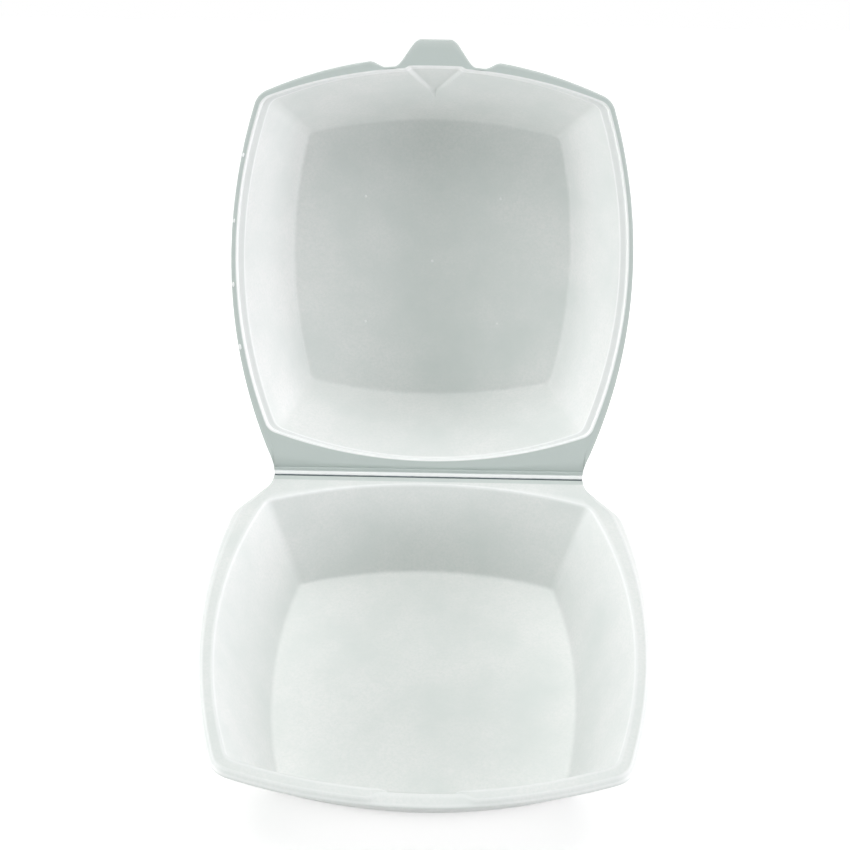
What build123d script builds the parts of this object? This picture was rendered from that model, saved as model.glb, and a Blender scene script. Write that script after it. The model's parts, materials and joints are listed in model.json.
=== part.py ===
from build123d import *
import math
import os

# A hinged foam clamshell: one sheet of foam formed into a base tray and a lid that
# fold about a crease. The sheet is cut here at the crease only, because the lid turns.
# Both trays are drawn lying open and flat: the crease along X through the origin, the
# rim plane at Z = 0, the tray running towards -Y and its hollow going down. The base is
# then lifted on to Z = 0 and the lid is swung about the crease to where it stands open.

# ---- the whole container -------------------------------------------------------------
lid_open_angle = 108.0          # between base and lid as they stand
hinge_width = 104.0             # length of the crease
hinge_gap = 0.3                 # between the two halves along the crease
hinge_web = 0.8                 # thickness that the crease is crushed to
crease_run = 1.6                # width of the crushed slope beside the crease, each side
seal_gap = 0.3                  # between the two rims when the lid is shut

# ---- the opening that both trays share -------------------------------------------------
opening_centre = 69.5           # from the crease to the middle of the opening
opening_half_width = 62.8       # to the middle of a bowed side
opening_half_length = 64.4      # to the middle of the bowed front and back
opening_bow_side = 9.4          # how far a side's middle stands out from its ends
opening_bow_end = 10.1
opening_corner_x = opening_half_width - opening_bow_side   # where two bowed sides would meet
opening_corner_y = opening_half_length - opening_bow_end
opening_corner_radius = 5.0

# ---- base tray -------------------------------------------------------------------------
base_wall = 2.4
base_depth = 31.4               # rim to the inside of the floor
base_floor_centre = opening_centre - 6.1
base_floor_half_width = 47.7
base_floor_half_length = 48.9
base_floor_corner_x = base_floor_half_width - 5.0
base_floor_corner_y = base_floor_half_length - 7.5
base_floor_radius = 1.5         # bend between wall and floor, inside
base_foot_radius = 2.0          # the same bend outside
base_land = 3.3                 # flat top of the rim
base_lip_run = 1.5              # how far the rim's outer edge slopes outwards
base_lip_drop = 1.5             # and down
base_rim_height = 2.2
base_corner_reach = 4.0         # how far the rim's front corners stand off the opening's
base_neck = 4.0                 # straight stretch of rim beside the crease
base_shoulder_x = opening_half_width + 0.6   # where the rim widens behind the back corners
base_shoulder_y = 19.0
shoulder_radius = 12.0
neck_radius = 8.0
base_line_y = 4.3               # pressed line beside the crease

# ---- lid -------------------------------------------------------------------------------
lid_wall = 2.1
lid_depth = 31.2                # rim to the inside of the deck
lid_deck_centre = opening_centre - 3.4
lid_deck_half_width = 47.2
lid_deck_half_length = 48.0
lid_deck_corner_x = lid_deck_half_width - 5.4
lid_deck_corner_y = lid_deck_half_length - 5.1
lid_deck_radius = 1.2
lid_top_radius = 3.0
lid_flange_side = 1.9           # flange beyond the opening at the sides
lid_flange_front = 3.5          # and at the front
lid_front_corner_x = opening_corner_x + 1.7
lid_front_corner_y = opening_centre + opening_corner_y + 1.4
lid_neck = 3.6                  # straight stretch of flange beside the crease
lid_neck_flare = 0.4            # how much wider the flange is at its end
step_margin = 0.7               # how far the block round the ledge stands off the opening
ledge_drop = 1.2                # narrow step just inside the rim
ledge_side = 2.3                # its width at the sides
ledge_end = 0.5                 # its width at the front and back
lid_line_y = 1.8                # pressed line beside the crease

# ---- tab, thumb notches and the catch under the tab --------------------------------------
tab_reach = 5.3                 # beyond the flange's front edge
tab_half_root = 10.8
tab_half_top = 6.2
tab_top_radius = 3.0
notch_half_width = 4.4          # shallow dip in the flange on each side of the tab
notch_depth = 3.0
notch_radius = 3.0
catch_half_width = 9.8          # three-sided pocket in the lid's front wall
catch_height = 20.5
catch_depth = 1.5
catch_shift = 0.4               # how far the base's recess is wider than the pocket
recess_run = 1.3                # the base's rim steps out here by this much
recess_drop = 5.0
saddle_half_width = 14.0        # the rim's outer slope is steeper behind the tab
saddle_run = 1.6

# ---- small marks -------------------------------------------------------------------------
line_half_width = 0.5           # pressed lines beside the crease
line_depth = 0.4
vent_radius = 0.6               # raised vent marks on the deck
vent_height = 0.25
vent_spacing_x = 45.6
vent_spacing_y = 43.6

base_corner_radius = 9.5        # outer corners of the two rims at the front
lid_corner_radius = 4.0


def bowed_outline(half_width, half_length, corner_x, corner_y, centre, radius):
    """A square whose four sides bow outwards, with rounded corners."""
    ends = [(corner_x, corner_y), (-corner_x, corner_y), (-corner_x, -corner_y), (corner_x, -corner_y)]
    middles = [(0, half_length), (-half_width, 0), (0, -half_length), (half_width, 0)]
    sides = [ThreePointArc(ends[i], middles[i], ends[(i + 1) % 4]) for i in range(4)]
    face = make_face(Wire(sides))
    return Pos(0, -centre) * fillet(face.vertices(), radius)


def grown(sizes, amount):
    """The sizes of a bowed outline moved outwards by an amount."""
    half_width, half_length, corner_x, corner_y, centre, radius = sizes
    return (half_width + amount, half_length + amount, corner_x + amount, corner_y + amount,
            centre, radius + amount)


def draught(top_sizes, top_z, bottom_sizes, bottom_z):
    """A solid that tapers from one bowed outline to another below it."""
    top = Pos(0, 0, top_z) * bowed_outline(*top_sizes)
    bottom = Pos(0, 0, bottom_z) * bowed_outline(*bottom_sizes)
    return loft([top.face(), bottom.face()], ruled=True)


def edges_at(solid, z, tolerance=0.01):
    """The edges that lie in the level plane at a height."""
    return solid.edges().filter_by_position(Axis.Z, z - tolerance, z + tolerance)


def rim_plate(outline, thickness):
    """An outline given a thickness downwards, with its top half a seal gap below Z = 0."""
    return Pos(0, 0, -seal_gap / 2) * extrude(outline, -thickness)


def ridge_cut(y, half_width, depth):
    """A long three-sided bar that presses a line into a rim, parallel to the crease."""
    section = Plane.YZ * Pos(y, -seal_gap / 2) * make_face(
        Polyline((-half_width, 0), (half_width, 0), (0, -depth), close=True))
    return extrude(section, hinge_width / 2, both=True)


def crease_cut(thickness):
    """What is crushed away from a rim's underside beside the crease."""
    low = -seal_gap / 2 - thickness
    section = Plane.YZ * make_face(
        Polyline((0, -seal_gap / 2 - hinge_web), (-crease_run, low), (0, low), close=True))
    return extrude(section, hinge_width, both=True)


def gap_cut():
    """A block that keeps each half of the sheet clear of the crease line."""
    return Pos(0, hinge_gap / 2) * Box(2 * hinge_width, 2 * hinge_gap, hinge_width)


opening = (opening_half_width, opening_half_length, opening_corner_x, opening_corner_y,
           opening_centre, opening_corner_radius)
front_of_opening = opening_centre + opening_half_length


# ---- base tray -----------------------------------------------------------------------------
def base_rim_outline():
    """The base rim's outer edge: neck, shoulder and bowed sides and front."""
    rim = base_land + base_lip_run
    half = hinge_width / 2
    corner = (opening_corner_x + base_corner_reach,
              -(opening_centre + opening_corner_y + base_corner_reach))
    shoulder = (base_shoulder_x, -base_shoulder_y)
    side_middle = (opening_half_width + rim, -opening_centre)
    front_middle = (0, -(front_of_opening + rim))
    right = [Line((half, 0), (half, -base_neck)), Line((half, -base_neck), shoulder),
             ThreePointArc(shoulder, side_middle, corner)]
    left = [mirror(edge, about=Plane.YZ) for edge in right]
    front = ThreePointArc(corner, front_middle, (-corner[0], corner[1]))
    face = make_face(right + left + [front, Line((half, 0), (-half, 0))])
    corners = face.vertices().sort_by(Axis.Y)
    face = fillet(corners[:2], base_corner_radius)
    shoulders = face.vertices().filter_by_position(Axis.Y, -base_shoulder_y - 0.1, -base_shoulder_y + 0.1)
    face = fillet(shoulders, shoulder_radius)
    necks = face.vertices().filter_by_position(Axis.Y, -base_neck - 0.1, -base_neck + 0.1)
    return fillet(necks, neck_radius)


def base_front_recess():
    """The pocket in the front rim that the lid's catch presses into."""
    reach = front_of_opening + recess_run
    floor_edge = base_floor_centre + base_floor_half_length
    wall_lean = (front_of_opening - floor_edge) / base_depth
    foot = front_of_opening - recess_drop * wall_lean
    section = Plane.YZ * make_face(Polyline(
        (-floor_edge, 0), (-reach, 0), (-reach, -seal_gap / 2), (-foot, -recess_drop), close=True))
    return extrude(section, catch_half_width + catch_shift, both=True)


def base_front_saddle():
    """What the steeper outer slope behind the tab takes off the rim."""
    land_edge = front_of_opening + base_land
    outer = land_edge + base_lip_run
    section = Plane.YZ * make_face(Polyline(
        (-(land_edge - saddle_run), -seal_gap / 2), (-outer - 1, -seal_gap / 2),
        (-outer - 1, -seal_gap / 2 - base_lip_drop), (-outer, -seal_gap / 2 - base_lip_drop),
        close=True))
    return extrude(section, saddle_half_width, both=True)


def make_base():
    """The base tray, lying as it stands with its rim plane at Z = 0."""
    floor = (base_floor_half_width, base_floor_half_length, base_floor_corner_x,
             base_floor_corner_y, base_floor_centre, opening_corner_radius)
    underside = -(base_depth + base_wall)
    outer = draught(grown(opening, base_wall), -seal_gap / 2, grown(floor, base_wall), underside)
    outer = fillet(edges_at(outer, underside), base_foot_radius)
    rim = rim_plate(base_rim_outline(), base_rim_height)
    top_edges = [edge for edge in edges_at(rim, -seal_gap / 2) if abs(edge.center().Y) > hinge_gap]
    rim = chamfer(top_edges, base_lip_drop, base_lip_run)
    inner = draught(opening, 0, floor, -base_depth)
    inner = fillet(edges_at(inner, -base_depth), base_floor_radius)
    tray = rim + outer - inner
    tray -= base_front_recess()
    tray -= base_front_saddle()
    tray -= ridge_cut(-base_line_y, line_half_width, line_depth)
    tray -= crease_cut(base_rim_height)
    return tray - gap_cut()


# ---- lid -------------------------------------------------------------------------------------
def lid_outline():
    """The lid flange's outer edge, with the tab and the two dips beside it."""
    half = hinge_width / 2
    front = front_of_opening + lid_flange_front
    corner = (lid_front_corner_x, -lid_front_corner_y)
    neck = (half + lid_neck_flare, -lid_neck)
    right = [Line((half, 0), neck),
             ThreePointArc(neck, (opening_half_width + lid_flange_side, -opening_centre), corner)]
    left = [mirror(edge, about=Plane.YZ) for edge in right]
    bow = ThreePointArc(corner, (0, -front), (-corner[0], corner[1]))
    face = make_face(right + left + [bow, Line((half, 0), (-half, 0))])
    face = fillet(face.vertices().sort_by(Axis.Y)[:2], lid_corner_radius)
    notch_x = tab_half_root + notch_half_width
    for sign in (1, -1):
        notch = make_face(Polyline((sign * (notch_x - notch_half_width), -front - 1),
                                   (sign * notch_x, -front + notch_depth),
                                   (sign * (notch_x + notch_half_width), -front - 1), close=True))
        tip = notch.vertices().sort_by(Axis.Y)[-1]
        face -= fillet(tip, notch_radius)
    root = -front + notch_depth
    tab = make_face(Polyline((-tab_half_root, root), (-tab_half_top, -front - tab_reach),
                             (tab_half_top, -front - tab_reach), (tab_half_root, root), close=True))
    face += fillet(tab.vertices().sort_by(Axis.Y)[:2], tab_top_radius)
    return face


def catch_prism(height, half_width, start, end):
    """A three-sided prism square to the lid's front wall, between two depths in it."""
    run = front_of_opening - ledge_end - (lid_deck_centre + lid_deck_half_length)
    slope = math.atan2(lid_depth - ledge_drop, run)
    wall_plane = Plane(origin=(0, -front_of_opening, 0), x_dir=(1, 0, 0),
                       z_dir=(0, -math.sin(slope), -math.cos(slope)))
    triangle = make_face(Polyline((-half_width, 0), (half_width, 0), (0, -height), close=True))
    return extrude(wall_plane.offset(start) * triangle, end - start)


def make_lid():
    """The lid, lying open and flat with its rim plane at Z = 0."""
    deck = (lid_deck_half_width, lid_deck_half_length, lid_deck_corner_x, lid_deck_corner_y,
            lid_deck_centre, opening_corner_radius)
    ledge = (opening_half_width - ledge_side, opening_half_length - ledge_end,
             opening_corner_x - ledge_side, opening_corner_y - ledge_end,
             opening_centre, opening_corner_radius)
    top = -(lid_depth + lid_wall)
    outer = draught(grown(ledge, lid_wall), -ledge_drop, grown(deck, lid_wall), top)
    outer = fillet(edges_at(outer, top), lid_top_radius)
    flange = rim_plate(lid_outline(), lid_wall)
    step = Pos(0, 0, -seal_gap / 2) * extrude(bowed_outline(*grown(opening, step_margin)),
                                              -(ledge_drop + lid_wall))
    step -= Pos(0, hinge_width / 2) * Box(2 * hinge_width, hinge_width, hinge_width)
    shell = flange + step + outer
    shell += catch_prism(catch_height, catch_half_width, 0, lid_wall + catch_depth)
    inner = draught(ledge, -ledge_drop, deck, -lid_depth)
    inner = fillet(edges_at(inner, -lid_depth), lid_deck_radius)
    shell -= inner
    shell -= extrude(bowed_outline(*opening), -ledge_drop)
    shell -= catch_prism(catch_height, catch_half_width, -lid_wall, catch_depth)
    spots = [(0, 0)] + [(i * vent_spacing_x / 2, j * vent_spacing_y / 2) for i in (-1, 1) for j in (-1, 1)]
    for x, y in spots:
        shell += Pos(x, y - lid_deck_centre, -lid_depth) * Cylinder(vent_radius, 2 * vent_height)
    shell -= ridge_cut(-lid_line_y, line_half_width, line_depth)
    shell -= crease_cut(lid_wall)
    return shell - gap_cut()


# ---- standing pose ------------------------------------------------------------------------
# The origin is the middle of the base's underside, and the front of the base faces -Y.
rim_height = base_depth + base_wall
to_place = Pos(0, base_floor_centre, rim_height)
base_tray = to_place * make_base()
lid = to_place * Rot(X=180 - lid_open_angle) * Rot(Z=180) * make_lid()

os.makedirs("parts", exist_ok=True)
for name, solid in (("base_tray", base_tray), ("lid", lid)):
    export_step(solid, f"parts/{name}.step")
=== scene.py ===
"""Looks of a hinged foam clamshell container, standing open on a pale floor.

One sheet of white polystyrene foam is pressed into a base tray and a lid that fold
about a crushed crease. Each tray is drawn lying open and flat: the crease along X
through the origin, the rim plane at Z = 0, the tray running towards -Y and its hollow
going down. All sizes are millimetres until a mesh is placed in the frame.
"""

from __future__ import annotations

import json
import logging
import math
from dataclasses import dataclass, field, replace
from enum import Enum
from typing import Sequence

import bmesh
import bpy
import numpy as np
from mathutils import Matrix, Vector

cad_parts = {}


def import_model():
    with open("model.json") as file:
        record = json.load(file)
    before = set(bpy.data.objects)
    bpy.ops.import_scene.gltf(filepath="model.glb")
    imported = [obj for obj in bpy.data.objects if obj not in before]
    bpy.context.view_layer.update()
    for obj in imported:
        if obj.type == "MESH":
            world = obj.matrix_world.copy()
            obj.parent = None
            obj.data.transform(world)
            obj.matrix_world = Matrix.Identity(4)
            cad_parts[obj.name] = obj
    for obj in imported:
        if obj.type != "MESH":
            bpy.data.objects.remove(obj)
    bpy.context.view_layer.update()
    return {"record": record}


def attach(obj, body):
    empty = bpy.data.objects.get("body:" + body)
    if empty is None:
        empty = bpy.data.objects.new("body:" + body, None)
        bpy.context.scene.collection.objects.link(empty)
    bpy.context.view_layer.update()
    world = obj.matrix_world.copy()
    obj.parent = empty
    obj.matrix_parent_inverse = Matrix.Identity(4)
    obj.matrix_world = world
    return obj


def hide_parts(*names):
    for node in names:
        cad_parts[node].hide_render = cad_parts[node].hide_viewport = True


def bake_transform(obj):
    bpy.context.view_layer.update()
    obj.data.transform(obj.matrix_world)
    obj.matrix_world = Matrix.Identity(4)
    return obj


LOG = logging.getLogger("clamshell")
MM = 0.001
SEAL_GAP = 0.3                  # between the two rims when the lid is shut
FACE_LEVEL = -SEAL_GAP / 2      # the rims' faces, below the rim plane
POLE_SHARE = 0.97               # how far in the last ring before a skin's pole lies
FLIP = np.array([-1.0, 1.0])    # from the right side to the left

Points = np.ndarray


class Run(Enum):
    """The eight runs of a tray's outline, in order, seen from above and turning left."""

    BACK = "back"
    BACK_LEFT = "back left corner"
    LEFT = "left"
    FRONT_LEFT = "front left corner"
    FRONT = "front"
    FRONT_RIGHT = "front right corner"
    RIGHT = "right"
    BACK_RIGHT = "back right corner"


class Half(Enum):
    """The two halves of the sheet, which are also the frame's bodies."""

    BASE = "base"
    LID = "lid"


# ---- small geometry helpers ----
def smooth(value: Points) -> Points:
    """Ease a value from 0 to 1 with level ends."""
    clipped = np.clip(value, 0.0, 1.0)
    return clipped * clipped * (3.0 - 2.0 * clipped)


def hump(distance: Points, full: float, none: float) -> Points:
    """A bump that is 1 within one distance and 0 beyond another."""
    return smooth((none - np.abs(distance)) / (none - full))


def arc(start: Sequence[float], middle: Sequence[float], end: Sequence[float],
        count: int = 400) -> Points:
    """Points on the circular arc through three points.

    Args:
        start: First point of the arc.
        middle: A point that the arc passes through.
        end: Last point of the arc.
        count: How many points to give.

    Returns:
        The points, one row each.
    """
    a, m, b = (np.array(p, float) for p in (start, middle, end))
    system = 2.0 * np.array([m - a, b - a])
    centre = np.linalg.solve(system, [m @ m - a @ a, b @ b - a @ a])
    radius = np.linalg.norm(a - centre)
    first, mid, last = (math.atan2(*(p - centre)[::-1]) for p in (a, m, b))
    turn = (last - first) % (2.0 * math.pi)
    if (mid - first) % (2.0 * math.pi) > turn:
        turn -= 2.0 * math.pi
    angles = first + turn * np.linspace(0.0, 1.0, count)
    return centre + radius * np.column_stack([np.cos(angles), np.sin(angles)])


def lengths_along(points: Points) -> Points:
    """Length from the first point to each point of a line."""
    steps = np.linalg.norm(np.diff(points, axis=0), axis=1)
    return np.concatenate([[0.0], np.cumsum(steps)])


def at_length(points: Points, length: Points) -> Points:
    """Points of a line at given lengths from its start."""
    travelled = lengths_along(points)
    return np.column_stack([np.interp(length, travelled, points[:, i]) for i in (0, 1)])


def trimmed(points: Points, from_start: float, from_end: float) -> Points:
    """A line with a length taken off each end."""
    total = lengths_along(points)[-1]
    return at_length(points, np.linspace(from_start, total - from_end, len(points)))


def bend_between(first: Points, second: Points, count: int = 40) -> Points:
    """A round bend that leaves one line and joins another without a kink.

    Args:
        first: The line that the bend leaves.
        second: The line that it joins.
        count: How many points to give.

    Returns:
        The bend's points, from the end of the first line to the start of the second.
    """
    leave = first[-1] - first[-2]
    enter = second[1] - second[0]
    leave, enter = leave / np.linalg.norm(leave), enter / np.linalg.norm(enter)
    start, end = first[-1], second[0]
    turn = math.acos(float(np.clip(leave @ enter, -1.0, 1.0)))
    chord = np.linalg.norm(end - start)
    radius = chord / (2.0 * max(math.sin(turn / 2.0), 1e-6))
    handle = 4.0 / 3.0 * math.tan(turn / 4.0) * radius
    t = np.linspace(0.0, 1.0, count)[:, None]
    return (start * (1 - t) ** 3 + (start + leave * handle) * 3 * t * (1 - t) ** 2
            + (end - enter * handle) * 3 * t ** 2 * (1 - t) + end * t ** 3)


def mirrored_runs(back: Points, corner: Points, side: Points, front: Points) -> dict[Run, Points]:
    """An outline's eight runs from its crease side, its right half and its front.

    Args:
        back: The crease side, from right to left.
        corner: The right back corner, from the side up to the crease.
        side: The right side, from the front corner up to the back corner.
        front: The front, from left to right.

    Returns:
        The finely drawn line of each run.
    """
    left = side[::-1] * FLIP
    return {
        Run.BACK: back,
        Run.BACK_LEFT: corner[::-1] * FLIP,
        Run.LEFT: left,
        Run.FRONT_LEFT: bend_between(left, front),
        Run.FRONT: front,
        Run.FRONT_RIGHT: bend_between(front, side),
        Run.RIGHT: side,
        Run.BACK_RIGHT: corner,
    }


@dataclass(frozen=True)
class Stations:
    """How finely each run of an outline is divided, the same for every ring of a tray."""

    back: int = 84
    side: int = 96
    corner: int = 20
    front_fine: int = 150
    front_coarse: int = 28
    fine_share: float = 0.36

    def fractions(self, run: Run) -> Points:
        """Places along one run.

        Args:
            run: Which run of the outline.

        Returns:
            Shares of the run's length, from 0 up to but not including 1.
        """
        if run is Run.FRONT:
            low, high = (1 - self.fine_share) / 2, (1 + self.fine_share) / 2
            return np.concatenate([np.linspace(0, low, self.front_coarse, endpoint=False),
                                   np.linspace(low, high, self.front_fine, endpoint=False),
                                   np.linspace(high, 1, self.front_coarse, endpoint=False)])
        counts = {Run.BACK: self.back, Run.LEFT: self.side, Run.RIGHT: self.side}
        return np.linspace(0.0, 1.0, counts.get(run, self.corner), endpoint=False)

    def back_share(self) -> Points:
        """How much each station belongs to the crease side: 1 along it, 0 past its corners."""
        shares = {Run.BACK: np.ones_like, Run.BACK_LEFT: lambda along: 1.0 - smooth(along / 0.5),
                  Run.BACK_RIGHT: lambda along: smooth((along - 0.5) / 0.5)}
        return np.concatenate([shares.get(run, np.zeros_like)(self.fractions(run)) for run in Run])

    def trace(self, runs: dict[Run, Points]) -> Points:
        """Ring points from the eight runs; the front is divided evenly across X.

        Args:
            runs: A finely drawn line for each run.

        Returns:
            One row of X and Y for each station.
        """
        parts = []
        for run in Run:
            fractions, line = self.fractions(run), runs[run]
            if run is Run.FRONT:
                across = line[0, 0] + (line[-1, 0] - line[0, 0]) * fractions
                parts.append(np.column_stack([across, np.interp(across, line[:, 0], line[:, 1])]))
            else:
                parts.append(at_length(line, fractions * lengths_along(line)[-1]))
        return np.concatenate(parts)


@dataclass(frozen=True)
class BowedOutline:
    """A square with four bowed sides and rounded corners."""

    half_width: float
    half_length: float
    corner_x: float
    corner_y: float
    centre: float
    radius: float = 5.0

    def grown(self, amount: float) -> BowedOutline:
        """The same outline moved outwards."""
        sizes = ("half_width", "half_length", "corner_x", "corner_y", "radius")
        return replace(self, **{name: getattr(self, name) + amount for name in sizes})

    def runs(self) -> dict[Run, Points]:
        """Draw the four bowed sides and the corners between them.

        Returns:
            The finely drawn line of each run.
        """
        x, y, mid = self.corner_x, self.corner_y, -self.centre
        sides = {
            Run.BACK: arc((x, mid + y), (0, mid + self.half_length), (-x, mid + y)),
            Run.LEFT: arc((-x, mid + y), (-self.half_width, mid), (-x, mid - y)),
            Run.FRONT: arc((-x, mid - y), (0, mid - self.half_length), (x, mid - y)),
            Run.RIGHT: arc((x, mid - y), (self.half_width, mid), (x, mid + y)),
        }
        leave = sides[Run.BACK][-1] - sides[Run.BACK][-2]
        enter = sides[Run.LEFT][1] - sides[Run.LEFT][0]
        turn = math.acos(float(leave @ enter / np.linalg.norm(leave) / np.linalg.norm(enter)))
        cut = self.radius * math.tan(turn / 2.0)
        sides = {run: trimmed(line, cut, cut) for run, line in sides.items()}
        return {
            **sides,
            Run.BACK_LEFT: bend_between(sides[Run.BACK], sides[Run.LEFT]),
            Run.FRONT_LEFT: bend_between(sides[Run.LEFT], sides[Run.FRONT]),
            Run.FRONT_RIGHT: bend_between(sides[Run.FRONT], sides[Run.RIGHT]),
            Run.BACK_RIGHT: bend_between(sides[Run.RIGHT], sides[Run.BACK]),
        }

    def ring(self, stations: Stations) -> Points:
        """The outline's ring points."""
        return stations.trace(self.runs())


@dataclass
class Bend:
    """One ring of a tray's section, where the sheet turns.

    Attributes:
        place: X, Y and Z of the ring, one row for each station.
        cut: How far from the turn the round bend starts, in millimetres.
        rows: Rows in the round bend.
        span: Rows in the stretch from here to the next bend.
        edge: How much painted highlight the sheet gets here, from 0 to 1, which pales it.
        painted_shade: How much painted shade the sheet gets from here to the next bend, from 0 to 1,
            which greys it.
        crease_shadow: How much painted shadow the sheet gets from here to the next bend, from 0 to 1,
            which darkens it.
    """

    place: Points
    cut: float = 0.0
    rows: int = 1
    span: int = 1
    edge: float | Points = 0.0
    painted_shade: float | Points = 0.0
    crease_shadow: float | Points = 0.0


def at_height(ring: Points, height: float | Points) -> Points:
    """A ring's X and Y with a height."""
    return np.column_stack([ring, np.broadcast_to(height, len(ring))])


def mixed(first: Points, second: Points, share: float | Points) -> Points:
    """Points between two rings of points."""
    share = np.broadcast_to(np.asarray(share, float), len(first))[:, None]
    return first + (second - first) * share


def partway(here: Points, other: Points, distance: float) -> Points:
    """Points a distance from one ring towards another, but short of halfway."""
    reach = np.linalg.norm(other - here, axis=1, keepdims=True)
    return here + (other - here) * np.minimum(distance / np.maximum(reach, 1e-9), 0.49)


def section_rows(bends: Sequence[Bend]) -> tuple[Points, dict[str, Points]]:
    """Rows of points for a section with round bends.

    Args:
        bends: The section's turns, in order from one pole of the closed skin to the other.

    Returns:
        The rows, shaped (rows, stations, 3), and the painted highlight, painted shade and painted
        crease shadow of each point.
    """
    rows: list[Points] = []
    # Painted highlight, painted shade and painted crease shadow for each point.
    marks: dict[str, list[Points]] = {"painted_highlight": [], "painted_shade": [], "crease_shadow": []}

    def add(row: Points, bend: Bend, edge: float | Points) -> None:
        """Keep one row with its marks."""
        rows.append(row)
        for title, value in (("painted_highlight", edge), ("painted_shade", bend.painted_shade), ("crease_shadow", bend.crease_shadow)):
            marks[title].append(np.broadcast_to(value, len(row)))

    for index, bend in enumerate(bends):
        here = bend.place
        if 0 < index < len(bends) - 1 and bend.cut > 0:
            enter, leave = (partway(here, bends[index + step].place, bend.cut) for step in (-1, 1))
            for t in np.linspace(0.0, 1.0, bend.rows):
                add(enter * (1 - t) ** 2 + here * 2 * t * (1 - t) + leave * t ** 2, bend, bend.edge)
        else:
            add(here, bend, bend.edge)
        if index + 1 < len(bends):
            following = bends[index + 1]
            target = following.place
            if following.cut > 0 and index + 2 < len(bends):
                target = partway(target, here, following.cut)
            last = rows[-1]
            for t in np.linspace(0.0, 1.0, bend.span + 1)[1:-1]:
                add(last + (target - last) * t, bend, 0.0)
    return np.array(rows), {title: np.array(values) for title, values in marks.items()}


def in_scene(name: str, data: bpy.types.ID) -> bpy.types.Object:
    """A new object in the scene."""
    item = bpy.data.objects.new(name, data)
    bpy.context.scene.collection.objects.link(item)
    return item


def keep_values(mesh: bpy.types.Mesh, title: str, values: Points) -> None:
    """Keep one value for each point of a mesh under a name, for its finish."""
    attribute = mesh.attributes.new(title, "FLOAT", "POINT")
    attribute.data.foreach_set("value", values.astype(np.float32))


def skin(name: str, rows: Points, finish: dict[str, Points], place: Matrix) -> bpy.types.Object:
    """A closed skin through rows of points, with a single point at each end.

    Args:
        name: The piece's name.
        rows: Points shaped (rows, stations, 3), in millimetres.
        finish: Values for each point, kept on the mesh under their names for its finish.
        place: Where the flat tray stands in the frame, in metres.

    Returns:
        The mesh object.
    """
    count, around = rows.shape[:2]
    points = np.vstack([rows.reshape(-1, 3), rows[0].mean(0), rows[-1].mean(0)]) * MM
    rotation, shift = np.array(place.to_3x3()), np.array(place.translation)
    points = points @ rotation.T + shift
    first = np.arange(count - 1)[:, None] * around + np.arange(around)[None, :]
    following = np.arange(count - 1)[:, None] * around + (np.arange(around) + 1)[None, :] % around
    quads = np.stack([first, following, following + around, first + around], -1).reshape(-1, 4)
    low_pole, high_pole, last = count * around, count * around + 1, (count - 1) * around
    ring, after = np.arange(around), (np.arange(around) + 1) % around
    faces = quads.tolist()
    faces += [[low_pole, int(b), int(a)] for a, b in zip(ring, after)]
    faces += [[high_pole, int(last + a), int(last + b)] for a, b in zip(ring, after)]
    mesh = bpy.data.meshes.new(name)
    mesh.from_pydata(points.tolist(), [], faces)
    for title, kept in finish.items():
        keep_values(mesh, title, np.append(kept.ravel(), [0.0, 0.0]))
    return finished_piece(name, mesh)


def finished_piece(name: str, mesh: bpy.types.Mesh, sharp: float = 60.0) -> bpy.types.Object:
    """Put a mesh in the scene with outward faces and smooth shading.

    Args:
        name: The piece's name.
        mesh: Its mesh, with every face closed.
        sharp: Edges that turn by more than this, in degrees, stay sharp.

    Returns:
        The mesh object.
    """
    work = bmesh.new()
    work.from_mesh(mesh)
    bmesh.ops.recalc_face_normals(work, faces=work.faces)
    work.to_mesh(mesh)
    work.free()
    mesh.shade_smooth()
    mesh.set_sharp_from_angle(angle=math.radians(sharp))
    return in_scene(name, mesh)


# ---- finishes ----
def blank_material(name: str) -> tuple[bpy.types.Material, bpy.types.ShaderNode]:
    """A new node material and its surface shader."""
    material = bpy.data.materials.new(name)
    material.use_nodes = True
    return material, material.node_tree.nodes["Principled BSDF"]


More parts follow.
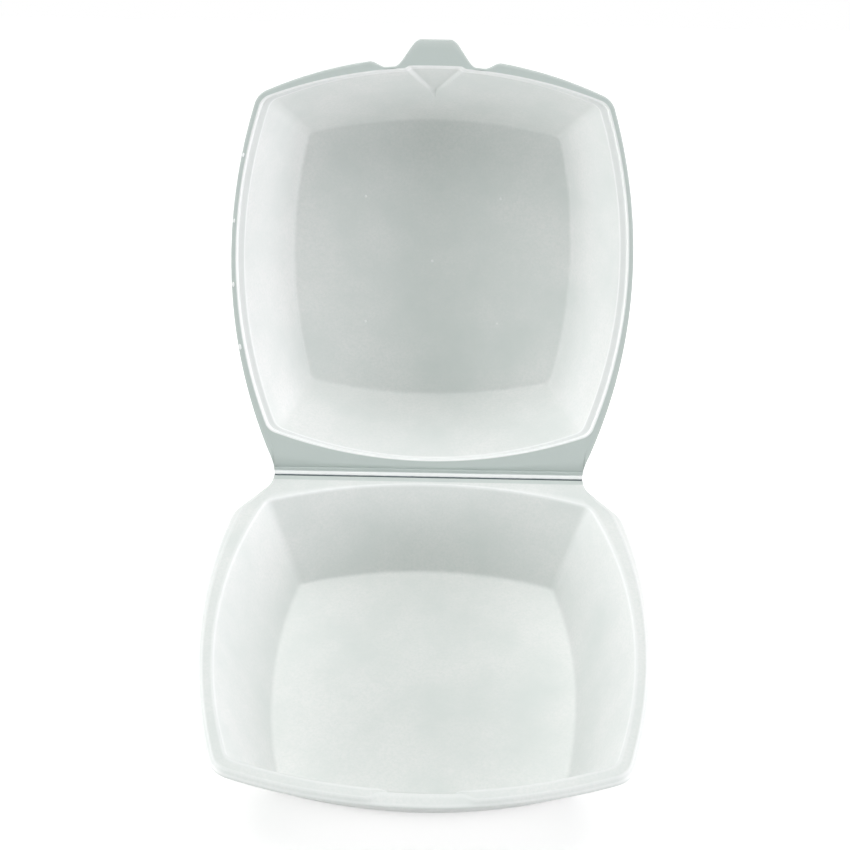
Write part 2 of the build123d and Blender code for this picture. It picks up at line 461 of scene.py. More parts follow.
@dataclass(frozen=True)
class FoamFinish:
    """Pressed white polystyrene foam: a satin skin over fine cells, cloudy where it is thinner.

    The clouds and flecks have the thin colour. The lid's flange and the slope beside the crease are
    greyed with a painted shade; the rim and opening edges, the crease's bead and the small marks are
    paled with a painted highlight; and the groove beside the crease is darkened with a painted shadow.
    The sizes of cells, clouds and flecks are widths in millimetres.
    """

    name: str = "white_foam"
    colour: tuple[float, float, float] = (0.866, 0.866, 0.858)
    thin_colour: tuple[float, float, float] = (0.765, 0.795, 0.780)
    # Painted shade: the lid's flange and the slope beside the crease are greyed to stand for the shade
    # they sit in.
    painted_shade_colour: tuple[float, float, float] = (0.555, 0.610, 0.590)
    # Painted highlight: pale lines on the rim and opening edges, the crease's bead and the small marks.
    painted_highlight_colour: tuple[float, float, float] = (0.950, 0.955, 0.955)
    # Painted shadow: the dark line in the groove beside the crease.
    crease_shadow_colour: tuple[float, float, float] = (0.180, 0.220, 0.230)
    roughness: float = 0.46
    cell_size: float = 0.55
    cloud_size: float = 24.0
    fleck_size: float = 0.9
    cell_bump: float = 0.22
    ripple_bump: float = 0.20

    def material(self) -> bpy.types.Material:
        """Build the node material.

        Returns:
            The material.
        """
        material, shader = blank_material(self.name)
        nodes, links = material.node_tree.nodes, material.node_tree.links
        shader.inputs["Specular IOR Level"].default_value = 0.42
        where = nodes.new("ShaderNodeTexCoord").outputs["Object"]

        def noise(size: float, detail: float, rough: float) -> bpy.types.NodeSocket:
            """Noise whose features have a given size, in millimetres."""
            node = nodes.new("ShaderNodeTexNoise")
            for socket, number in (("Scale", 1.0 / (size * MM)), ("Detail", detail),
                                   ("Roughness", rough)):
                node.inputs[socket].default_value = number
            links.new(where, node.inputs["Vector"])
            return node.outputs["Fac"]

        def ranged(value: bpy.types.NodeSocket, low: float, high: float,
                   to_low: float, to_high: float) -> bpy.types.NodeSocket:
            """A value moved from one range to another."""
            node = nodes.new("ShaderNodeMapRange")
            for socket, number in zip(("From Min", "From Max", "To Min", "To Max"),
                                      (low, high, to_low, to_high)):
                node.inputs[socket].default_value = number
            links.new(value, node.inputs["Value"])
            return node.outputs["Result"]

        def colour_mix(share: bpy.types.NodeSocket, first: object,
                       second: object) -> bpy.types.NodeSocket:
            """A mix of two colours, each given outright or by a socket."""
            node = nodes.new("ShaderNodeMix")
            node.data_type = "RGBA"
            links.new(share, node.inputs[0])
            for socket, value in ((node.inputs[6], first), (node.inputs[7], second)):
                if isinstance(value, tuple):
                    socket.default_value = (*value, 1.0)
                else:
                    links.new(value, socket)
            return node.outputs[2]

        clouds = ranged(noise(self.cloud_size, 3.0, 0.55), 0.40, 0.72, 0.0, 1.0)
        fleck = ranged(noise(self.fleck_size, 4.0, 0.7), 0.35, 0.70, 0.0, 0.75)
        tone = colour_mix(clouds, self.colour, self.thin_colour)
        tone = colour_mix(fleck, tone, self.thin_colour)
        # Over the foam's tone lay the painted shade, the painted highlight and the painted shadow in
        # the crease groove, each by its own kept values.
        for title, colour in (("painted_shade", self.painted_shade_colour), ("painted_highlight", self.painted_highlight_colour),
                              ("crease_shadow", self.crease_shadow_colour)):
            kept = nodes.new("ShaderNodeAttribute")
            kept.attribute_name = title
            tone = colour_mix(kept.outputs["Fac"], tone, colour)
        links.new(tone, shader.inputs["Base Color"])
        links.new(ranged(noise(3.0, 4.0, 0.6), 0.3, 0.7, self.roughness - 0.05, self.roughness + 0.08),
                  shader.inputs["Roughness"])

        cells = nodes.new("ShaderNodeTexVoronoi")
        cells.inputs["Scale"].default_value = 1.0 / (self.cell_size * MM)
        links.new(where, cells.inputs["Vector"])
        bumps = []
        for height, strength, distance in ((cells.outputs["Distance"], self.cell_bump, 0.05),
                                           (noise(5.0, 4.0, 0.6), self.ripple_bump, 0.35)):
            bump = nodes.new("ShaderNodeBump")
            bump.inputs["Strength"].default_value = strength
            bump.inputs["Distance"].default_value = distance * MM
            links.new(height, bump.inputs["Height"])
            bumps.append(bump)
        fine, broad = bumps
        links.new(fine.outputs["Normal"], broad.inputs["Normal"])
        links.new(broad.outputs["Normal"], shader.inputs["Normal"])
        return material


@dataclass(frozen=True)
class FloorFinish:
    """A plain pale floor that reads white where it is unshaded and keeps the shadow."""

    name: str = "pale_floor"
    colour: tuple[float, float, float] = (0.92, 0.90, 0.90)
    lift: float = 0.42

    def material(self) -> bpy.types.Material:
        """Build the node material; the lift is seen by the camera and in gloss only.

        Returns:
            The material.
        """
        material, shader = blank_material(self.name)
        nodes, links = material.node_tree.nodes, material.node_tree.links
        shader.inputs["Base Color"].default_value = (*self.colour, 1.0)
        shader.inputs["Roughness"].default_value = 0.9
        shader.inputs["Specular IOR Level"].default_value = 0.1
        shader.inputs["Emission Color"].default_value = (1.0, 1.0, 1.0, 1.0)
        scale = nodes.new("ShaderNodeMath")
        scale.operation = "MULTIPLY"
        scale.inputs[1].default_value = self.lift
        links.new(seen_by_eye(nodes, links), scale.inputs[0])
        links.new(scale.outputs["Value"], shader.inputs["Emission Strength"])
        return material


def seen_by_eye(nodes: bpy.types.Nodes, links: bpy.types.NodeLinks) -> bpy.types.NodeSocket:
    """Tell the rays that are seen from the light that falls on things.

    Args:
        nodes: The nodes of the tree that asks.
        links: The links of that tree.

    Returns:
        A socket that is 1 for camera, gloss and transmission rays, and 0 for the rest.
    """
    path = nodes.new("ShaderNodeLightPath")
    seen = path.outputs["Is Camera Ray"]
    for title in ("Is Glossy Ray", "Is Transmission Ray"):
        either = nodes.new("ShaderNodeMath")
        either.operation = "MAXIMUM"
        links.new(seen, either.inputs[0])
        links.new(path.outputs[title], either.inputs[1])
        seen = either.outputs["Value"]
    return seen


# ---- where things stand ----
@dataclass(frozen=True)
class Stand:
    """How the flat halves stand in the frame, read from the crease joint."""

    crease: Vector
    open_angle: float

    @classmethod
    def from_record(cls, record: dict) -> Stand:
        """Read the crease's place and the lid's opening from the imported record."""
        joint = record["behaviour"]["joints"][0]
        return cls(Vector(joint["pos_m"]), math.radians(joint["range_deg"][1]))

    def matrix(self, half: Half) -> Matrix:
        """The move that takes a flat half to where it stands."""
        if half is Half.BASE:
            return Matrix.Translation(self.crease)
        return (Matrix.Translation(self.crease) @ Matrix.Rotation(math.pi - self.open_angle, 4, "X")
                @ Matrix.Rotation(math.pi, 4, "Z"))

    def along_sheet(self, across: Points, run: Points, level: Points, soft: float) -> Points:
        """Places on the folded sheet, in metres.

        Args:
            across: Place along the crease.
            run: Place square to the crease, below 0 on the base and above 0 on the lid.
            level: Height over the sheet's face on its hollow side, below 0 inside the sheet.
            soft: Half the width over which the sheet turns.

        Returns:
            One row of X, Y and Z for each place.
        """
        angle = (math.pi - self.open_angle) * smooth((run + soft) / (2.0 * soft))
        y = np.cos(angle) * run - np.sin(angle) * level
        z = np.sin(angle) * run + np.cos(angle) * level
        return np.column_stack([across, y, z]) * MM + np.array(self.crease)


# ---- what both trays share ----
@dataclass
class Tray:
    """Where a tray stands, the opening that both share, and the straight side along the crease."""

    stand: Stand
    stations: Stations = field(default_factory=Stations)
    opening: BowedOutline = BowedOutline(half_width=62.8, half_length=64.4, corner_x=53.4,
                                         corner_y=54.3, centre=69.5)
    hinge_half: float = 52.0
    edge_gap: float = 0.15

    def crease_side(self) -> Points:
        """The rim's edge along the crease, from right to left."""
        return np.array([(self.hinge_half, -self.edge_gap), (-self.hinge_half, -self.edge_gap)])

    def foot(self, length: float) -> Points:
        """A short straight edge that leaves the crease squarely at its right end."""
        return np.array([(self.hinge_half, -self.edge_gap), (self.hinge_half, -self.edge_gap - length)])

    def level(self, side: float, crease: float) -> Points:
        """A height for each station: one value beside the crease and another elsewhere."""
        return side + (crease - side) * self.stations.back_share()

    def inset(self, edge: Points, share: float, crease: float) -> Points:
        """A ring between the rim's outer edge and the opening.

        Args:
            edge: The rim's outer edge.
            share: How far in the ring lies, as a share of the way to the opening.
            crease: How far from the fold the ring lies beside the crease, in millimetres.

        Returns:
            The ring points.
        """
        opening = self.opening.ring(self.stations)
        width = np.maximum(-opening[:, 1] - self.edge_gap, 0.1)
        beside = np.clip((crease - self.edge_gap) / width, 0, 1)
        return mixed(edge, opening, share + (beside - share) * self.stations.back_share())


# ---- base tray ----
@dataclass
class BaseTray(Tray):
    """The deep lower half, with a rounded lip round a flat rim."""

    floor: BowedOutline = BowedOutline(half_width=47.7, half_length=48.9, corner_x=42.7,
                                       corner_y=41.4, centre=63.4, radius=3.0)
    depth: float = 31.4
    wall: float = 2.4
    land: float = 3.3
    lip_run: float = 1.5
    lip_drop: float = 1.5
    rim_height: float = 2.2
    corner_reach: float = 4.0
    neck: float = 4.0
    shoulder: tuple[float, float] = (63.4, 19.0)
    corner_cut: float = 4.5
    shoulder_cut: float = 3.0
    neck_cut: float = 3.0
    web: float = 1.7
    valley_drop: float = 0.75
    groove_drop: float = 1.3
    groove_end: float = 0.85
    valley_end: float = 4.3
    recess_half: float = 9.6
    recess_run: float = 1.3
    recess_drop: float = 5.0
    saddle_half: float = 13.0
    saddle_run: float = 1.9
    ease: float = 4.0

    def rim_runs(self) -> dict[Run, Points]:
        """Draw the rim's outer edge: crease, neck, shoulder, bowed sides and front.

        Returns:
            The finely drawn line of each run.
        """
        rim, mid = self.land + self.lip_run, -self.opening.centre
        corner = np.array([self.opening.corner_x + self.corner_reach,
                           mid - self.opening.corner_y - self.corner_reach])
        shoulder = (self.shoulder[0], -self.shoulder[1])
        right = arc(shoulder, (self.opening.half_width + rim, mid), corner, 600)[::-1]
        right = trimmed(right, self.corner_cut, self.shoulder_cut)
        front = arc(corner * FLIP, (0, mid - self.opening.half_length - rim), corner, 600)
        front = trimmed(front, self.corner_cut, self.corner_cut)
        slope = np.linspace((self.hinge_half, -self.neck), shoulder, 60)
        slope = trimmed(slope, self.neck_cut, self.shoulder_cut)[::-1]
        foot = self.foot(0.3)[::-1]
        up = np.vstack([bend_between(right, slope), slope, bend_between(slope, foot), foot])
        return mirrored_runs(self.crease_side(), up, right, front)

    def front_shift(self, ring: Points, half: float, run: float) -> Points:
        """A ring whose front middle moves outwards, easing back at each side.

        Args:
            ring: The ring points.
            half: Half the width that moves, in millimetres.
            run: How far it moves, in millimetres, and below 0 inwards.

        Returns:
            The moved ring points.
        """
        moved = ring.copy()
        near_front = ring[:, 1] < -self.opening.centre
        moved[:, 1] -= run * hump(ring[:, 0], half - self.ease / 2, half + self.ease / 2) * near_front
        return moved

    def bends(self) -> list[Bend]:
        """Lay out the tray's section.

        Returns:
            Its turns, from the middle of the underside round the rim to the middle of the floor.
        """
        stations, level = self.stations, self.level
        back = stations.back_share()
        rim = stations.trace(self.rim_runs())
        opening = self.opening.ring(stations)
        floor = self.floor.ring(stations)
        outer_low = self.floor.grown(self.wall).ring(stations)
        width = self.land + self.lip_run
        under = FACE_LEVEL - self.rim_height
        underside = -(self.depth + self.wall)
        outer_top = at_height(self.opening.grown(self.wall).ring(stations), FACE_LEVEL)
        outer_foot = at_height(outer_low, underside)
        wall_start = (under - FACE_LEVEL) / (underside - FACE_LEVEL) + 0.01
        recess = self.front_shift(opening, self.recess_half, self.recess_run)
        hollow = self.recess_drop / self.depth
        middle = np.tile([0.0, -self.floor.centre], (len(floor), 1))

        def inset(side: float, crease: float, saddle: float = 0.0) -> Points:
            """A ring on the rim, set in from its edge, from the fold and at the front's middle."""
            ring = self.inset(rim, side / width, crease)
            return self.front_shift(ring, self.saddle_half, -saddle)

        return [
            Bend(at_height(mixed(outer_low, middle, POLE_SHARE), underside), span=5),
            Bend(outer_foot, cut=2.0, rows=5, span=12),
            Bend(mixed(outer_top, outer_foot, wall_start), cut=0.5, rows=3),
            Bend(at_height(inset(0.0, 1.6), under), cut=0.5, rows=4),
            Bend(at_height(inset(0.0, self.edge_gap),
                           level(FACE_LEVEL - self.lip_drop, FACE_LEVEL - self.web)),
                 cut=0.7, rows=5, span=2),
            # Along the sides the lip's rows get a painted highlight; beside the crease the groove row
            # gets a painted shadow and the slope after it a painted shade.
            Bend(at_height(inset(0.2, self.edge_gap),
                           level(FACE_LEVEL - self.lip_drop + 0.35, FACE_LEVEL - self.groove_drop)),
                 cut=0.3, rows=2, span=4, edge=0.5 * (1 - back), crease_shadow=back),
            Bend(at_height(inset(self.lip_run, self.groove_end, self.saddle_run),
                           level(FACE_LEVEL, FACE_LEVEL - self.valley_drop)),
                 cut=0.55, rows=5, span=4, edge=0.3 * (1 - back), painted_shade=0.6 * back),
            Bend(at_height(inset(self.lip_run + 0.6, self.valley_end, self.saddle_run),
                           level(FACE_LEVEL - 0.12, FACE_LEVEL)),
                 cut=0.4, rows=3, span=3),
            # The opening's edge gets a painted highlight.
            Bend(at_height(recess, FACE_LEVEL), cut=0.45, rows=6, span=6, edge=0.6),
            Bend(mixed(at_height(opening, FACE_LEVEL), at_height(floor, -self.depth), hollow),
                 cut=1.0, rows=3, span=26),
            Bend(at_height(floor, -self.depth), cut=1.1, rows=7, span=8),
            Bend(at_height(mixed(floor, middle, POLE_SHARE), -self.depth)),
        ]

    def build(self, foam: bpy.types.Material) -> bpy.types.Object:
        """Make the tray's skin and hand it to the base body.

        Args:
            foam: The finish.

        Returns:
            The tray.
        """
        rows, finish = section_rows(self.bends())
        tray = skin("base_shell", rows, finish, self.stand.matrix(Half.BASE))
        tray.data.materials.append(foam)
        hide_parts("base_tray")
        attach(tray, Half.BASE.value)
        return tray


# ---- lid ----
@dataclass
class Lid(Tray):
    """The upper half: flat flange with a tab and two dips, a narrow ledge, and a pressed V catch."""

    deck: BowedOutline = BowedOutline(half_width=47.2, half_length=48.0, corner_x=41.8,
                                      corner_y=42.9, centre=66.1, radius=3.0)
    depth: float = 31.2
    wall: float = 2.1
    deck_cut: float = 0.9
    flange_side: float = 1.9
    flange_front: float = 3.5
    front_corner: tuple[float, float] = (55.1, 125.2)
    neck: tuple[float, float] = (52.4, 3.6)
    corner_cut: float = 3.0
    back_corner: float = 9.0
    web: float = 0.8
    ledge_drop: float = 1.2
    ledge_side: float = 2.3
    ledge_end: float = 0.5
    line_place: float = 1.8
    line_depth: float = 0.4
    tab_reach: float = 5.3
    tab_half_root: float = 12.7
    tab_half_top: float = 4.6
    notch_place: float = 15.0
    notch_half: float = 5.4
    notch_depth: float = 2.4
    catch_half: float = 9.8
    catch_height: float = 20.5
    catch_depth: float = 0.8
    catch_bevel: float = 1.6

    def flange_front_line(self) -> Points:
        """Draw the flange's front edge, with the tab and the dips beside it.

        Returns:
            The edge's points, from left to right.
        """
        front = self.opening.centre + self.opening.half_length + self.flange_front
        corner = np.array([self.front_corner[0], -self.front_corner[1]])
        line = arc(corner * FLIP, (0, -front), corner, 2400)
        line = trimmed(line, self.corner_cut, self.corner_cut)
        across = np.abs(line[:, 0])
        dips = hump(across, self.notch_place, self.notch_place + self.notch_half)
        tab = smooth((self.tab_half_root - across) / (self.tab_half_root - self.tab_half_top))
        top = -(front + self.tab_reach)
        line[:, 1] += self.notch_depth * dips
        line[:, 1] += (top - line[:, 1]) * tab
        return line

    def flange_runs(self) -> dict[Run, Points]:
        """Draw the flange's outer edge.

        Returns:
            The finely drawn line of each run.
        """
        corner = (self.front_corner[0], -self.front_corner[1])
        widest = (self.opening.half_width + self.flange_side, -self.opening.centre)
        side = arc((self.neck[0], -self.neck[1]), widest, corner, 800)[30:]
        foot = self.foot(0.4)
        right = np.vstack([foot, bend_between(foot, side), side])[::-1]
        right = trimmed(right, self.corner_cut, 0.0)
        low = trimmed(right, 0.0, self.back_corner)
        up = trimmed(right, lengths_along(right)[-1] - self.back_corner, 0.0)
        return mirrored_runs(self.crease_side(), up, low, self.flange_front_line())

    def ledge(self) -> BowedOutline:
        """The outline where the ledge meets the wall."""
        top = self.opening
        return replace(top, half_width=top.half_width - self.ledge_side,
                       half_length=top.half_length - self.ledge_end,
                       corner_x=top.corner_x - self.ledge_side, corner_y=top.corner_y - self.ledge_end)

    def bends(self) -> list[Bend]:
        """Lay out the lid's section.

        Returns:
            Its turns, from the middle of the outside round the flange to the middle of the deck.
        """
        stations = self.stations
        flange = stations.trace(self.flange_runs())
        opening = self.opening.ring(stations)
        ledge = self.ledge().ring(stations)
        deck = self.deck.ring(stations)
        outer_low = self.deck.grown(self.wall).ring(stations)
        under = FACE_LEVEL - self.wall
        outside = -(self.depth + self.wall)
        outer_top = at_height(self.ledge().grown(self.wall).ring(stations), -self.ledge_drop)
        outer_deck = at_height(outer_low, outside)
        wall_start = (under - 0.6 + self.ledge_drop) / (outside + self.ledge_drop)
        wall_top, wall_foot = at_height(ledge, -self.ledge_drop), at_height(deck, -self.depth)
        middle = np.tile([0.0, -self.deck.centre], (len(deck), 1))

        def lip(share: float, crease: float, drop: float, side: float = FACE_LEVEL) -> Points:
            """A ring on the flange, lowered beside the crease."""
            return at_height(self.inset(flange, share, crease), self.level(side, FACE_LEVEL - drop))

        # The flange's face rows are greyed as a painted shade.
        face = [Bend(lip(share, crease, drop), span=span, painted_shade=1.0) for share, crease, drop, span in (
            (0.30, 0.75, 0.5, 2), (0.42, 1.3, 0.05, 2), (0.5, 1.55, 0.1, 1),
            (0.55, self.line_place, self.line_depth, 1), (0.6, 2.1, 0.0, 3))]
        return [
            Bend(at_height(mixed(outer_low, middle, POLE_SHARE), outside), span=5),
            Bend(outer_deck, cut=2.6, rows=6, span=14),
            Bend(mixed(outer_top, outer_deck, wall_start), cut=0.4, rows=3),
            Bend(lip(0.62, 2.6, self.wall, under), cut=0.4, rows=3, span=2),
            Bend(lip(0.0, 0.3, self.web, under), cut=0.4, rows=4, span=2),
            # The flange's outer edge is greyed as a painted shade, with a touch of painted highlight.
            Bend(lip(0.0, 0.16, 0.55), cut=0.35, rows=4, span=2, edge=0.1, painted_shade=0.9),
            *face,
            Bend(at_height(self.opening.grown(0.55).ring(stations), FACE_LEVEL), painted_shade=1.0),
            # The opening's edge, the ledge and the top of the wall get a painted highlight.
            Bend(at_height(opening, FACE_LEVEL), cut=0.4, rows=5, span=2, edge=1.0),
            Bend(at_height(mixed(opening, ledge, 0.12), -self.ledge_drop + 0.1),
                 cut=0.2, rows=3, edge=0.7),
            Bend(wall_top, cut=0.3, rows=4, span=34, edge=0.8),
            Bend(mixed(wall_top, wall_foot, 0.36), span=14),
            Bend(wall_foot, cut=self.deck_cut, rows=8, span=9),
            Bend(at_height(mixed(deck, middle, POLE_SHARE), -self.depth)),
        ]

    def press_catch(self, rows: Points) -> Points:
        """Press the three-sided catch outwards into the front wall, through the whole sheet.

        Args:
            rows: The lid's rows of points, lying flat.

        Returns:
            The rows with the catch pressed in.
        """
        drop = self.depth - self.ledge_drop
        run = (self.opening.centre + self.opening.half_length - self.ledge_end
               - self.deck.centre - self.deck.half_length)
        slope = math.hypot(drop, run)
        outward = np.array([0.0, -drop / slope, -run / slope])
        x, y, z = rows[..., 0], rows[..., 1], rows[..., 2]
        down = np.maximum(-z, 0.0) * slope / drop
        lean = self.catch_half / self.catch_height
        inside = (self.catch_half - lean * down - np.abs(x)) / math.hypot(1.0, lean)
        depth = self.catch_depth * smooth(inside / self.catch_bevel)
        front_line = -(self.opening.centre + self.opening.half_length)
        wall_y = front_line + np.maximum(-z, 0.0) * run / drop
        near = smooth((wall_y + 1.2 - y) / 0.8 + 1.0) * (y < -self.opening.centre)
        on_flange = smooth((front_line - 0.35 - y) / 0.8)
        on_wall = 1.0 - on_flange * (z > -self.wall - 0.4)
        push = (depth * near * on_wall)[..., None] * outward
        push[..., 2] *= smooth(down / 2.0)
        return rows + push

    def build(self, foam: bpy.types.Material) -> bpy.types.Object:
        """Make the lid's skin and hand it to the lid body.

        Args:
            foam: The finish.

        Returns:
            The lid.
        """
        rows, finish = section_rows(self.bends())
        lid = skin("lid_shell", self.press_catch(rows), finish, self.stand.matrix(Half.LID))
        lid.data.materials.append(foam)
        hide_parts("lid")
        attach(lid, Half.LID.value)
        return lid


# ---- crease ----
@dataclass
class CreaseStrip:
    """The crushed foam along the fold: a slim bead with a thin wing tucked into each half."""

    stand: Stand
    half_length: float = 51.8
    bead_half: float = 0.42
    bead_top: float = -0.02
    wing_reach: float = 1.2
    wing_top: float = -1.30
    wing_under: float = -1.70
    # Below this height the strip is darkened as a painted shadow; above it, paled as a painted
    # highlight.
    dark_below: float = -0.68
    steps_along: int = 260
    steps_over: int = 9
    soft: float = 0.6

    def section(self) -> tuple[Points, Points]:
        """Draw the strip's closed section.

        Returns:
            Places across the fold, and heights over the sheet's face.
        """
        turn = np.linspace(math.pi, 0.0, 2 * self.steps_over + 1)
        bead_run = np.cos(turn) * self.bead_half
        bead_level = self.wing_top + (self.bead_top - self.wing_top) * np.sin(turn) ** 0.8
        run = np.concatenate([[-self.wing_reach, -0.75], bead_run, [0.75, self.wing_reach],
                              [self.wing_reach, 0.5, 0.0, -0.5, -self.wing_reach]])
        level = np.concatenate([[self.wing_top - 0.12] * 2, bead_level, [self.wing_top - 0.12] * 2,
                                [self.wing_under] * 5])
        return run, level

    def build(self, foam: bpy.types.Material) -> bpy.types.Object:
        """Make the strip, bent along the fold where the halves stand at rest.

        Args:
            foam: The finish.

        Returns:
            The strip.
        """
        run, level = self.section()
        count = len(run)
        across = np.linspace(-self.half_length, self.half_length, self.steps_along)
        wobble = 0.02 * np.sin(across * 0.9) + 0.015 * np.sin(across * 2.3 + 1.0)
        places = np.vstack([self.stand.along_sheet(np.full(count, x), run, level + lift, self.soft)
                            for x, lift in zip(across, wobble - 0.03)])
        faces = [(i + j, i + (j + 1) % count, i + count + (j + 1) % count, i + count + j)
                 for i in range(0, (self.steps_along - 1) * count, count) for j in range(count)]
        faces.append(tuple(range(count)))
        last = (self.steps_along - 1) * count
        faces.append(tuple(range(last + count - 1, last - 1, -1)))
        mesh = bpy.data.meshes.new("crease_strip")
        mesh.from_pydata(places.tolist(), [], faces)
        strip = finished_piece("crease_strip", mesh, 50.0)
        # The bead's top gets a painted highlight and the parts below it a painted shadow in the fold.
        for title, share in (("painted_highlight", level > self.dark_below),
                             ("crease_shadow", level <= self.dark_below)):
            keep_values(mesh, title, np.tile(share, self.steps_along))
        mesh.materials.append(foam)
        edges = np.array([-self.soft, self.soft])
        middle = self.stand.along_sheet(np.zeros(2), edges, np.zeros(2), self.soft)
        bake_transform(strip)
        return strip


# ---- small repeated marks ----
@dataclass
class PressedMarks:
    """Small repeated marks on the lid: vent dots on the deck and nicks on the flange's edge."""

    lid: Lid
    vent_spacing: tuple[float, float] = (45.6, 43.6)
    vent_radius: float = 0.55
    vent_height: float = 0.22
    nick_places: tuple[float, ...] = (43.5, 64.5, 85.5, 106.5)
    nick_length: float = 1.1
    nick_height: float = 0.16

    def tree(self, name: str) -> bpy.types.NodeTree:
        """Build nodes that set a small dome on each point, sized by named inputs.

        Args:
            name: The tree's name.

        Returns:
            The node tree.
        """
        tree = bpy.data.node_groups.new(name, "GeometryNodeTree")
        for title, way, kind in (("Geometry", "INPUT", "Geometry"), ("Mark Size", "INPUT", "Vector"),
                                 ("Size Spread", "INPUT", "Float"), ("Foam", "INPUT", "Material"),
                                 ("Geometry", "OUTPUT", "Geometry")):
            tree.interface.new_socket(title, in_out=way, socket_type=f"NodeSocket{kind}")
        add = tree.nodes.new
        given, out = add("NodeGroupInput"), add("NodeGroupOutput")
        points, place, real, paint = (add(f"GeometryNode{kind}") for kind in (
            "MeshToPoints", "InstanceOnPoints", "RealizeInstances", "SetMaterial"))
        dome = add("GeometryNodeMeshUVSphere")
        for title, number in (("Segments", 20), ("Rings", 10), ("Radius", 1.0)):
            dome.inputs[title].default_value = number
        spread = add("FunctionNodeRandomValue")
        spread.data_type = "FLOAT"
        spread.inputs["Seed"].default_value = 7
        spread.inputs[3].default_value = 1.0
        low = add("ShaderNodeMath")
        low.operation = "SUBTRACT"
        low.inputs[0].default_value = 1.0
        size = add("ShaderNodeVectorMath")
        size.operation = "SCALE"
        turn = add("GeometryNodeInputNamedAttribute")
        turn.data_type = "FLOAT_VECTOR"
        turn.inputs["Name"].default_value = "turn"
        for giver, title, taker, socket in (
                (given, "Size Spread", low, 1), (low, "Value", spread, 2),
                (given, "Mark Size", size, 0), (spread, 1, size, "Scale"),
                (given, "Geometry", points, "Mesh"), (points, "Points", place, "Points"),
                (dome, "Mesh", place, "Instance"), (size, "Vector", place, "Scale"),
                (turn, "Attribute", place, "Rotation"), (place, "Instances", real, "Geometry"),
                (real, "Geometry", paint, "Geometry"), (given, "Foam", paint, "Material"),
                (paint, "Geometry", out, "Geometry")):
            tree.links.new(giver.outputs[title], taker.inputs[socket])
        return tree

    def scattered(self, name: str, spots: Points, turns: Points, size: tuple[float, float, float],
                  spread: float, foam: bpy.types.Material) -> bpy.types.Object:
        """Marks on given spots of the lid, as one plain mesh on the lid body.

        Args:
            name: The piece's name.
            spots: Where the marks are, on the flat lid.
            turns: How far each mark is turned about the lid's depth.
            size: Half sizes of a mark, in millimetres.
            spread: How much smaller the smallest mark may be, as a share.
            foam: The finish.

        Returns:
            The mesh object.
        """
        mesh = bpy.data.meshes.new(name)
        mesh.from_pydata((spots * MM).tolist(), [], [])
        turned = np.zeros((len(spots), 3), np.float32)
        turned[:, 2] = turns
        mesh.attributes.new("turn", "FLOAT_VECTOR", "POINT").data.foreach_set("vector", turned.ravel())
        piece = in_scene(name, mesh)
        modifier = piece.modifiers.new("marks", "NODES")
        modifier.node_group = tree = self.tree(f"{name}_nodes")
        given = {item.name: item.identifier for item in tree.interface.items_tree
                 if item.item_type == "SOCKET" and item.in_out == "INPUT"}
        modifier[given["Mark Size"]] = [value * MM for value in size]
        modifier[given["Size Spread"]] = spread
        modifier[given["Foam"]] = foam
        graph = bpy.context.evaluated_depsgraph_get()
        made = bpy.data.meshes.new_from_object(piece.evaluated_get(graph))
        piece.modifiers.clear()
        piece.data = made
        made.transform(self.lid.stand.matrix(Half.LID))
        made.shade_smooth()
        # Every mark is paled all over as a painted highlight.
        keep_values(made, "painted_highlight", np.ones(len(made.vertices)))
        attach(piece, Half.LID.value)
        return piece

    def build(self, foam: bpy.types.Material) -> list[bpy.types.Object]:
        """Make the vent dots and the nicks.

        Args:
            foam: The finish.

        Returns:
            One piece for the dots and one for the nicks.
        """
        centre, depth = -self.lid.deck.centre, -self.lid.depth
        wide, long = (s / 2 for s in self.vent_spacing)
        vents = np.array([(0, centre, depth),
                          (wide, centre + long, depth), (-wide, centre + long, depth),
                          (wide, centre - long, depth), (-wide, centre - long, depth)])
        dots = self.scattered("vent_dots", vents, np.zeros(5),
                              (self.vent_radius, self.vent_radius, self.vent_height), 0.25, foam)
        edge = self.lid.flange_runs()[Run.RIGHT]
        spots, turns = [], []
        for place in self.nick_places:
            index = int(np.argmin(np.abs(edge[:, 1] + place)))
            along = edge[index] - edge[index - 1]
            inward = np.array([-abs(along[1]), along[0] * np.sign(along[1])]) / np.linalg.norm(along)
            spots.append((*(edge[index] + inward * 0.55), FACE_LEVEL))
            turns.append(math.atan2(along[1], along[0]))
        nicks = self.scattered("flange_nicks", np.array(spots), np.array(turns),
                               (self.nick_length, 0.5, self.nick_height), 0.4, foam)
        return [dots, nicks]


# ---- studio ----
@dataclass(frozen=True)
class SoftBox:
    """One large soft lamp."""

    name: str
    place: tuple[float, float, float]
    aim: tuple[float, float, float]
    size: tuple[float, float]
    watts: float
    colour: tuple[float, float, float] = (1.0, 1.0, 1.0)

    def build(self) -> bpy.types.Object:
        """Hang the lamp.

        Returns:
            The lamp, aimed at its point.
        """
        light = bpy.data.lights.new(self.name, "AREA")
        light.shape = "RECTANGLE"
        light.size, light.size_y = self.size
        light.energy = self.watts
        light.color = self.colour
        lamp = in_scene(self.name, light)
        towards = Vector(self.aim) - Vector(self.place)
        lamp.location = self.place
        lamp.rotation_mode = "QUATERNION"
        lamp.rotation_quaternion = towards.to_track_quat("-Z", "Y")
        return lamp


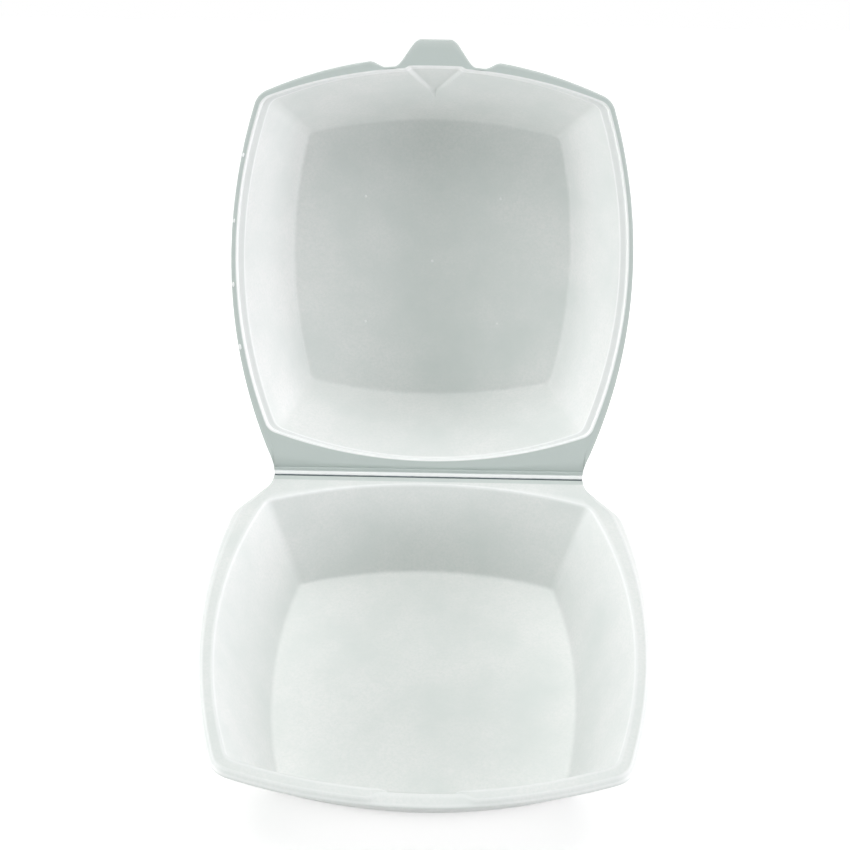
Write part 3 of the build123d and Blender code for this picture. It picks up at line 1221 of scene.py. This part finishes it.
@dataclass(frozen=True)
class Studio:
    """Pale floor, soft lamps, white surroundings and the camera.

    The floor and the lamps are placed in metres. The camera's azimuth, elevation and roll are in
    degrees, and its distance, aim and lens in millimetres.
    """

    stand: Stand
    floor_half: float = 0.52
    ambient: tuple[float, float, float] = (0.09, 0.14, 0.125)
    lamps: tuple[SoftBox, ...] = (
        SoftBox("top_softbox", (0.0, 0.10, 0.95), (0.0, 0.03, 0.05), (0.9, 0.9), 6.9,
                (1.0, 0.98, 0.975)),
        SoftBox("left_softbox", (-0.82, -0.13, 0.18), (0.0, 0.08, 0.09), (0.3, 0.3), 3.95,
                (1.0, 0.965, 0.985)),
        SoftBox("right_softbox", (0.82, -0.13, 0.18), (0.0, 0.08, 0.09), (0.3, 0.3), 4.3,
                (1.0, 0.94, 0.99)),
        SoftBox("front_softbox", (0.0, -1.1, 0.12), (0.0, 0.08, 0.09), (0.5, 0.3), 1.1,
                (1.0, 0.985, 0.985)),
    )
    azimuth: float = 0.42
    elevation: float = 37.42
    roll: float = 0.81
    distance: float = 510.0
    aim_side: float = -1.35
    aim_over_crease: float = 20.9
    lens: float = 65.74

    def floor(self) -> bpy.types.Object:
        """Lay the floor under the base.

        Returns:
            The floor.
        """
        mesh = bpy.data.meshes.new("floor")
        signs = ((-1, -1), (1, -1), (1, 1), (-1, 1))
        corners = [(x * self.floor_half, y * self.floor_half, 0.0) for x, y in signs]
        mesh.from_pydata(corners, [], [(0, 1, 2, 3)])
        mesh.materials.append(FloorFinish().material())
        floor = in_scene("floor", mesh)
        return floor

    def surroundings(self) -> None:
        """Light from all round at a low level, seen as white."""
        world = bpy.data.worlds.new("surroundings")
        world.use_nodes = True
        bpy.context.scene.world = world
        nodes, links = world.node_tree.nodes, world.node_tree.links
        background = nodes["Background"]
        tone = nodes.new("ShaderNodeMix")
        tone.data_type = "RGBA"
        tone.inputs[6].default_value = (*self.ambient, 1.0)
        tone.inputs[7].default_value = (1.0, 1.0, 1.0, 1.0)
        links.new(seen_by_eye(nodes, links), tone.inputs[0])
        links.new(tone.outputs[2], background.inputs["Color"])

    def camera(self) -> bpy.types.Object:
        """Stand the camera in front of the open container, looking down at its crease.

        Returns:
            The camera.
        """
        crease = self.stand.crease
        aim = Vector((self.aim_side * MM, crease.y, crease.z + self.aim_over_crease * MM))
        azimuth, elevation = math.radians(self.azimuth), math.radians(self.elevation)
        level = math.cos(elevation)
        back = Vector((math.sin(azimuth) * level, -math.cos(azimuth) * level, math.sin(elevation)))
        data = bpy.data.cameras.new("camera")
        data.sensor_width = 36.0
        data.lens = self.lens
        data.clip_start, data.clip_end = 0.01, 20.0
        camera = in_scene("camera", data)
        camera.location = aim + back * self.distance * MM
        camera.rotation_mode = "QUATERNION"
        turn = Matrix.Rotation(math.radians(self.roll), 3, "Z").to_quaternion()
        camera.rotation_quaternion = (-back).to_track_quat("-Z", "Y") @ turn
        bpy.context.scene.camera = camera
        return camera

    def build(self) -> None:
        """Set the whole studio."""
        self.floor()
        self.surroundings()
        for lamp in self.lamps:
            lamp.build()
        self.camera()
        bpy.context.scene.view_settings.view_transform = "Standard"


def main() -> None:
    """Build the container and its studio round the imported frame."""
    logging.basicConfig(level=logging.INFO, format="%(message)s")
    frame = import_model()
    stand = Stand.from_record(frame["record"])
    foam = FoamFinish().material()
    lid = Lid(stand)
    pieces = [BaseTray(stand).build(foam), lid.build(foam), CreaseStrip(stand).build(foam),
              *PressedMarks(lid).build(foam)]
    for piece in pieces:
        LOG.info("%s: %d faces", piece.name, len(piece.data.polygons))
    Studio(stand).build()


if __name__ == "__main__":
    main()
